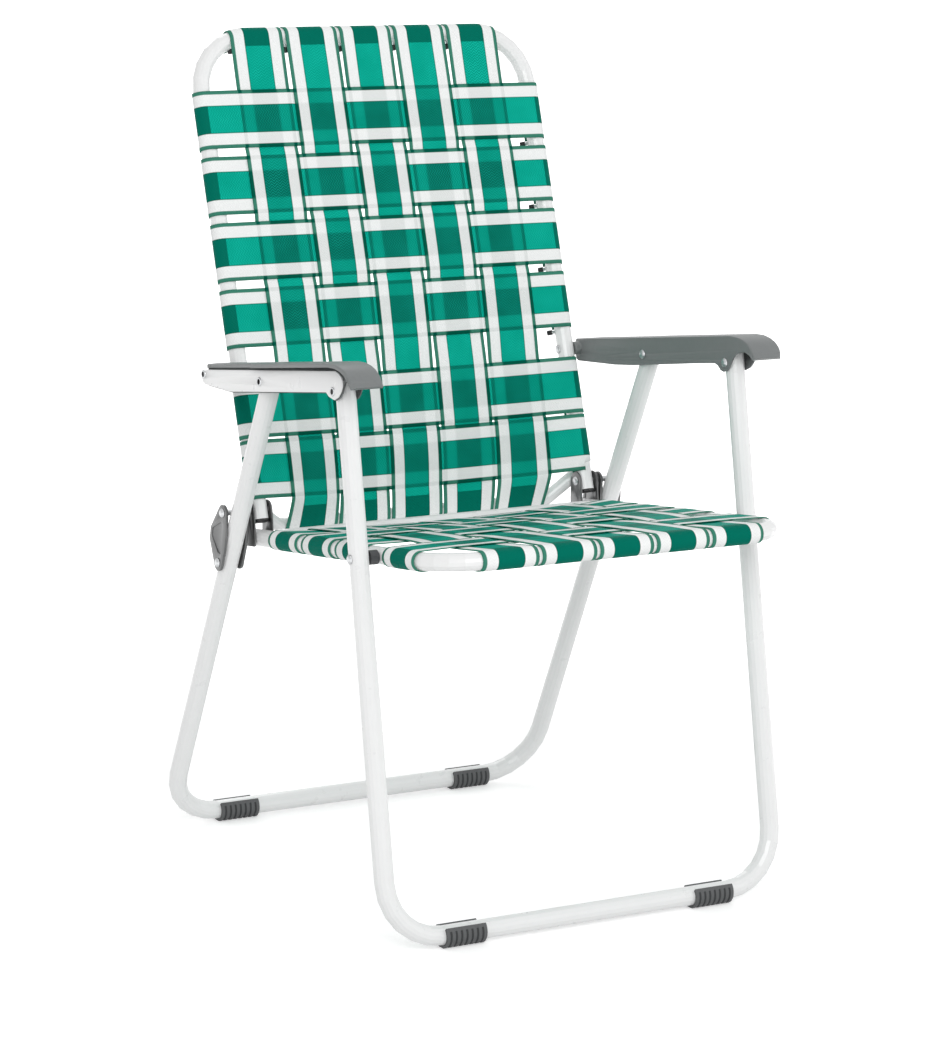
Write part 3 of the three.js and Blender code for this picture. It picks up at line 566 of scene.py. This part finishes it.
SCREW = ((0, -1), (2, -1), (2, 3), (3, 3), (3, 8.6), (2.3, 9.3), (0, 9.5))
SCREW_HEAD = 2.9  # the shank is below this height
SCREWED_ROWS = BACK_ROWS[2:]
SCREW_TURN = math.radians(40)  # from straight inward towards the rear
BELOW_ROW = 3.4  # from a row's lower edge to the screw
IN_STRAP = 3  # from a long strap's edge


def screw(name, centre, direction):
    """A screw that stands out from a tube of the back's frame, whose middle is at centre."""
    turned(name, SCREW, lambda radius, height: height < SCREW_HEAD, (black, zinc),
           centre + direction * TUBE * MM, direction, "back")


for row, centre in enumerate(SCREWED_ROWS):
    for side, name in ((-1, "left"), (1, "right")):
        where = back.point(side * RAIL_HALF, centre - HALF - BELOW_ROW, 0)
        screw(f"row_screw_{name}_{row + 1}", where,
              X * -side * math.cos(SCREW_TURN) - back_front * math.sin(SCREW_TURN))
for column, x in enumerate(LONG_STRAPS):
    screw(f"strap_screw_{column + 1}", back.point(x - HALF + IN_STRAP, BACK_TOP, 0), -back_up)

# Eyelets and rivets end in a rolled rim round a hole painted black as its shade: an eyelet's flat middle,
# and the walls and floor of a rivet's shallow hollow. An eyelet's heights start at the plate, a rivet's at
# its inner head.
EYELET_RIM = ((3, 0.1), (3.2, 0.8), (3.8, 1.1), (4.7, 0.9), (5.2, 0.3), (5.2, -0.3))
EYELET = ((0, 0.1), *EYELET_RIM, (0, -0.3))
EYELET_HOLE = 3.1
EYELET_AHEAD = 4  # of the rear arm pivot
RIVET_HEAD = ((0, -2.6), (1.6, -2.5), (3.2, -2.1), (4.6, -1.3), (5.4, -0.4), (5.5, 0), (3, 0))
RIVET_SPAN = 30.2  # from the inner head to the plate's face
HOLE_DEPTH = 2.5
RIVET = (*RIVET_HEAD, (3, RIVET_SPAN), *((r, h + RIVET_SPAN) for r, h in EYELET_RIM[::-1]),
         (2.6, RIVET_SPAN - HOLE_DEPTH), (0, RIVET_SPAN - HOLE_DEPTH))


# Faces painted black as the shade inside a hole
def is_shaded_hole(radius, height):
    return radius < EYELET_HOLE and height > 0


def is_shaded_rivet_hole(radius, height):
    return radius < EYELET_HOLE and height > RIVET_SPAN - HOLE_DEPTH - TOUCH


arm_front, arm_middle, arm_rear = (middle(f"arm_rivet_{place}_left")
                                   for place in ("front", "middle", "rear"))
arm_ahead = Vector((0, arm_front.y - arm_rear.y, arm_front.z - arm_rear.z)).normalized()
arm_up = Vector((0, arm_ahead.z, -arm_ahead.y))
plate_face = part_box("arm_plate_right")[1].x
for side, name in ((-1, "left"), (1, "right")):
    face = X * side * plate_face
    for place, pivot in (("front", arm_front), ("rear", arm_rear + arm_ahead * EYELET_AHEAD * MM)):
        turned(f"arm_plate_eyelet_{place}_{name}", EYELET, is_shaded_hole, (zinc, black),
               face + Vector((0, pivot.y, pivot.z)), X * side, "arms")
    turned(f"arm_rivet_{name}", RIVET, is_shaded_rivet_hole, (zinc, black),
           face - X * side * RIVET_SPAN * MM + Vector((0, arm_middle.y, arm_middle.z)), X * side, "arms",
           f"arm_rivet_middle_{name}")


# Feet: ribbed clips under the floor bars

FOOT_INNER, FOOT_OUTER, BAR_HEIGHT = 11.3, 14.5, 13.7
FOOT_FROM, FOOT_TO = 134, 400  # degrees round the bar
RIBS, RIB_DEPTH = 8, 1.1
RIB_POWER = 0.7  # below 1 the grooves are wider than a sine's
GROOVE_FROM = 0.35  # share of the depth at which the painted groove shade starts
FOOT_STATIONS = 120
OUTER_STEPS, INNER_STEPS = 32, 16
LIP = 2  # steps at the clip's edges without ribs


def foot_piece(node, body):
    """A clip in the node's place: its section round the bar, with ribs cut along the bar."""
    low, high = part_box(node)
    length = (high.x - low.x) / MM
    centre = (low + high) / 2
    # A pitch is a rib and then a groove, and the last one is only its rib
    pitch = length / (RIBS - 1 / 2)
    rings, depths = [], []
    for i in range(FOOT_STATIONS + 1):
        x = length * i / FOOT_STATIONS
        depth = max(math.sin(2 * math.pi * x / pitch - math.pi), 0) ** RIB_POWER
        depths.append(depth)
        section = []
        for k in range(OUTER_STEPS + 1):
            a = math.radians(FOOT_FROM + (FOOT_TO - FOOT_FROM) * k / OUTER_STEPS)
            radius = FOOT_OUTER - RIB_DEPTH * depth * (LIP <= k <= OUTER_STEPS - LIP)
            section.append((radius * math.cos(a), max(radius * math.sin(a), -BAR_HEIGHT)))
        section += arc((0, 0), FOOT_INNER, FOOT_TO, FOOT_FROM, INNER_STEPS)
        rings.append([Vector((low.x + x * MM, centre.y + y * MM, (z + BAR_HEIGHT) * MM))
                      for y, z in section])
    count = len(rings[0])
    mesh = bpy.data.meshes.new("ribbed_" + node)
    faces = [(i * count + k, i * count + (k + 1) % count,
              (i + 1) * count + (k + 1) % count, (i + 1) * count + k)
             for i in range(FOOT_STATIONS) for k in range(count)]
    last = FOOT_STATIONS * count
    # The two ends: quads between the outer arc and every second point of the inner one
    for start, flip in ((0, False), (last, True)):
        for k in range(INNER_STEPS):
            outer = (start + 2 * k, start + 2 * k + 1, start + 2 * k + 2)
            inner = (start + count - 2 - k, start + count - 1 - k)
            face = (*outer, *inner)
            faces.append(face if flip else face[::-1])
    mesh.from_pydata([p for ring in rings for p in ring], [], faces)
    mesh.materials.append(rubber)
    mesh.materials.append(groove_shade_rubber)
    for index, polygon in enumerate(mesh.polygons[:FOOT_STATIONS * count]):
        i, k = divmod(index, count)
        depth = (depths[i] + depths[i + 1]) / 2
        # The deep faces of the grooves get the painted groove shade
        polygon.material_index = int(LIP <= k < OUTER_STEPS - LIP and depth > GROOVE_FROM)
    work = bmesh.new()
    work.from_mesh(mesh)
    bmesh.ops.recalc_face_normals(work, faces=work.faces)
    work.to_mesh(mesh)
    work.free()
    piece = link_object("ribbed_" + node, mesh)
    smooth(piece, ROUND_ANGLE)
    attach(piece, body)
    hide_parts(node)


for end, body in (("front", "front_leg"), ("rear", "rear_leg")):
    for side in ("left", "right"):
        foot_piece(f"foot_{end}_{side}", body)


# Moulded and pressed pieces: the solids with their hard edges rounded

ROUNDED_ANGLE = 32  # degrees; a sharper edge stays sharp in the shading
FLAT_ANGLE, SHARP_ANGLE, LEFT_SHARP_ANGLE = (math.radians(angle) for angle in (1, 38, 50))
SOLID_MERGE = 0.02
CROWN_SEGMENTS, EDGE_SEGMENTS = 4, 2
CROWN_ROUND, ARMREST_ROUND = 1.8, 0.35
ARM_PLATE_ROUND, LINK_ROUND, HINGE_PLATE_ROUND = 0.5, 0.6, 0.5
# A crown edge joins a face that looks sideways to one that looks up, or up and ahead
SIDEWAYS, NOT_SIDEWAYS, UPWARD = 0.8, 0.3, 0.3
AHEAD_SHARE = 0.5


def sharp_edges(work, angle):
    return [e for e in work.edges if len(e.link_faces) == 2 and e.calc_face_angle(0) > angle]


def rounded(node, body, finish, width, is_broad=None, broad=0.0):
    """Takes the node's place. Edges for which is_broad(edge) holds are rounded by the broad width, and the
    other hard edges by the width. That second rounding is held back so that it doesn't overlap, which
    leaves almost nothing of it on the armrests."""
    work = bmesh.new()
    work.from_mesh(frame["nodes"][node].data)
    bmesh.ops.remove_doubles(work, verts=work.verts, dist=SOLID_MERGE * MM)
    bmesh.ops.dissolve_limit(work, angle_limit=FLAT_ANGLE, verts=work.verts, edges=work.edges)
    sharp = sharp_edges(work, SHARP_ANGLE)
    large = [e for e in sharp if is_broad and is_broad(e)]
    if large:
        bmesh.ops.bevel(work, geom=large, offset=broad * MM, offset_type="OFFSET",
                        segments=CROWN_SEGMENTS, profile=0.5, affect="EDGES", clamp_overlap=False)
        sharp = sharp_edges(work, LEFT_SHARP_ANGLE)
    bmesh.ops.bevel(work, geom=sharp, offset=width * MM, offset_type="OFFSET",
                    segments=EDGE_SEGMENTS, profile=0.5, affect="EDGES", clamp_overlap=True)
    mesh = bpy.data.meshes.new("rounded_" + node)
    work.to_mesh(mesh)
    work.free()
    mesh.materials.append(finish)
    piece = link_object("rounded_" + node, mesh)
    smooth(piece, ROUNDED_ANGLE)
    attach(piece, body)
    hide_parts(node)


def is_crown_edge(edge):
    """An edge between the armrest's top and one of its sides."""
    first, second = (face.normal for face in edge.link_faces)
    if abs(first.x) < abs(second.x):
        first, second = second, first
    upward = second.dot(arm_up + arm_ahead * AHEAD_SHARE)
    return abs(first.x) > SIDEWAYS and abs(second.x) < NOT_SIDEWAYS and upward > UPWARD


for side in ("left", "right"):
    rounded(f"armrest_{side}", "arms", plastic, ARMREST_ROUND,
            is_crown_edge, CROWN_ROUND)
    rounded(f"arm_plate_{side}", "arms", paint, ARM_PLATE_ROUND)
    for layer in ("inner", "outer"):
        rounded(f"link_{layer}_{side}", "links", steel, LINK_ROUND)
        rounded(f"hinge_plate_{layer}_{side}", "seat", steel, HINGE_PLATE_ROUND)


# Camera: where the photograph was taken from, measured from the floor under the front bar's middle

AZIMUTH, ELEVATION, ROLL = math.radians(-30.8), math.radians(11.85), math.radians(1.45)
FOCAL_PIXELS = 3720
PHOTO_LONG_SIDE = 1057
FROM_FRONT_BAR = Vector((-2140.7, -3328.1, 1275.3)) * MM
SENSOR = 36
CLIP_END = 50

outward = Vector((math.sin(AZIMUTH) * math.cos(ELEVATION), -math.cos(AZIMUTH) * math.cos(ELEVATION),
                  math.sin(ELEVATION)))
level_right = Vector((math.cos(AZIMUTH), math.sin(AZIMUTH), 0))
level_up = outward.cross(level_right)
right = level_right * math.cos(ROLL) + level_up * math.sin(ROLL)
up = level_up * math.cos(ROLL) - level_right * math.sin(ROLL)
lens = bpy.data.cameras.new("camera")
lens.sensor_width = SENSOR
lens.lens = FOCAL_PIXELS / PHOTO_LONG_SIDE * SENSOR
lens.clip_end = CLIP_END
camera = link_object("camera", lens)
place = Matrix((right, up, outward)).transposed().to_4x4()
low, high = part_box("foot_front_left")
place.translation = FROM_FRONT_BAR + Vector((0, (low.y + high.y) / 2, 0))
camera.matrix_world = place
bpy.context.scene.camera = camera


# Floor, world and lamps. The camera sees white away from the chair; the floor keeps its shadow.

FLOOR_HALF = 30
FLOOR_COLOR = (0.86, 0.86, 0.86)
GLOW_NEAR = 0.4  # the floor's own light by the chair, low enough for a shadow to show
SHADOW_NEAR, SHADOW_FAR = 0.5, 1.5  # metres from the middle, between which that light rises to 1
AMBIENT = 0.61


def seen_directly(n):
    """1 where the camera sees a surface, also in a reflection, and 0 where it only lights others."""
    path = n.add("ShaderNodeLightPath")
    return n.math("MAXIMUM", path.outputs["Is Camera Ray"],
                  n.math("MAXIMUM", path.outputs["Is Glossy Ray"], path.outputs["Is Transmission Ray"]))


def floor():
    mesh = bpy.data.meshes.new("floor")
    corners = [(sx * FLOOR_HALF, sy * FLOOR_HALF, 0) for sx, sy in ((-1, -1), (1, -1), (1, 1), (-1, 1))]
    mesh.from_pydata(corners, [], [(0, 1, 2, 3)])
    obj = link_object("floor", mesh)
    material = bpy.data.materials.new("floor")
    material.use_nodes = True
    n = Nodes(material)
    n.tree.nodes.clear()
    here = n.add("ShaderNodeNewGeometry").outputs["Position"]
    distance = n.add("ShaderNodeVectorMath", {0: here}, operation="LENGTH").outputs["Value"]
    away = n.add("ShaderNodeMapRange",
                 {"Value": distance, "From Min": SHADOW_NEAR, "From Max": SHADOW_FAR,
                  "To Min": GLOW_NEAR, "To Max": 1.0}, interpolation_type="SMOOTHSTEP")
    strength = n.math("MULTIPLY", seen_directly(n), away.outputs[0])
    glow = n.add("ShaderNodeEmission", {"Color": (1, 1, 1, 1), "Strength": strength})
    diffuse = n.add("ShaderNodeBsdfDiffuse", {"Color": (*FLOOR_COLOR, 1)})
    both = n.add("ShaderNodeAddShader", {0: diffuse.outputs[0], 1: glow.outputs[0]})
    out = n.add("ShaderNodeOutputMaterial")
    n.put(out.inputs["Surface"], both.outputs[0])
    mesh.materials.append(material)


def lamp(name, place, aim_at, size, power):
    """A round soft lamp; metres and watts."""
    light = bpy.data.lights.new(name, "AREA")
    light.shape = "DISK"
    light.size = size
    light.energy = power
    obj = link_object(name, light)
    obj.location = place
    obj.rotation_euler = (Vector(aim_at) - Vector(place)).to_track_quat("-Z", "Y").to_euler()


def world():
    scene_world = bpy.data.worlds.new("studio")
    scene_world.use_nodes = True
    bpy.context.scene.world = scene_world
    n = Nodes(scene_world)
    n.tree.nodes.clear()
    strength = n.math("MULTIPLY_ADD", seen_directly(n), 1 - AMBIENT, AMBIENT)
    background = n.add("ShaderNodeBackground", {"Color": (1, 1, 1, 1), "Strength": strength})
    out = n.add("ShaderNodeOutputWorld")
    n.put(out.inputs["Surface"], background.outputs[0])


floor()
world()
lamp("key", (-1.5, -3.1, 2.3), aim_at=(0, 0, 0.5), size=2.2, power=49)
lamp("fill", (2.8, -2.0, 1.8), aim_at=(0, 0, 0.5), size=2.6, power=14)
lamp("rim", (0.6, 2.6, 2.6), aim_at=(0, 0, 0.6), size=2.0, power=18)
bpy.context.scene.view_settings.view_transform = "Standard"
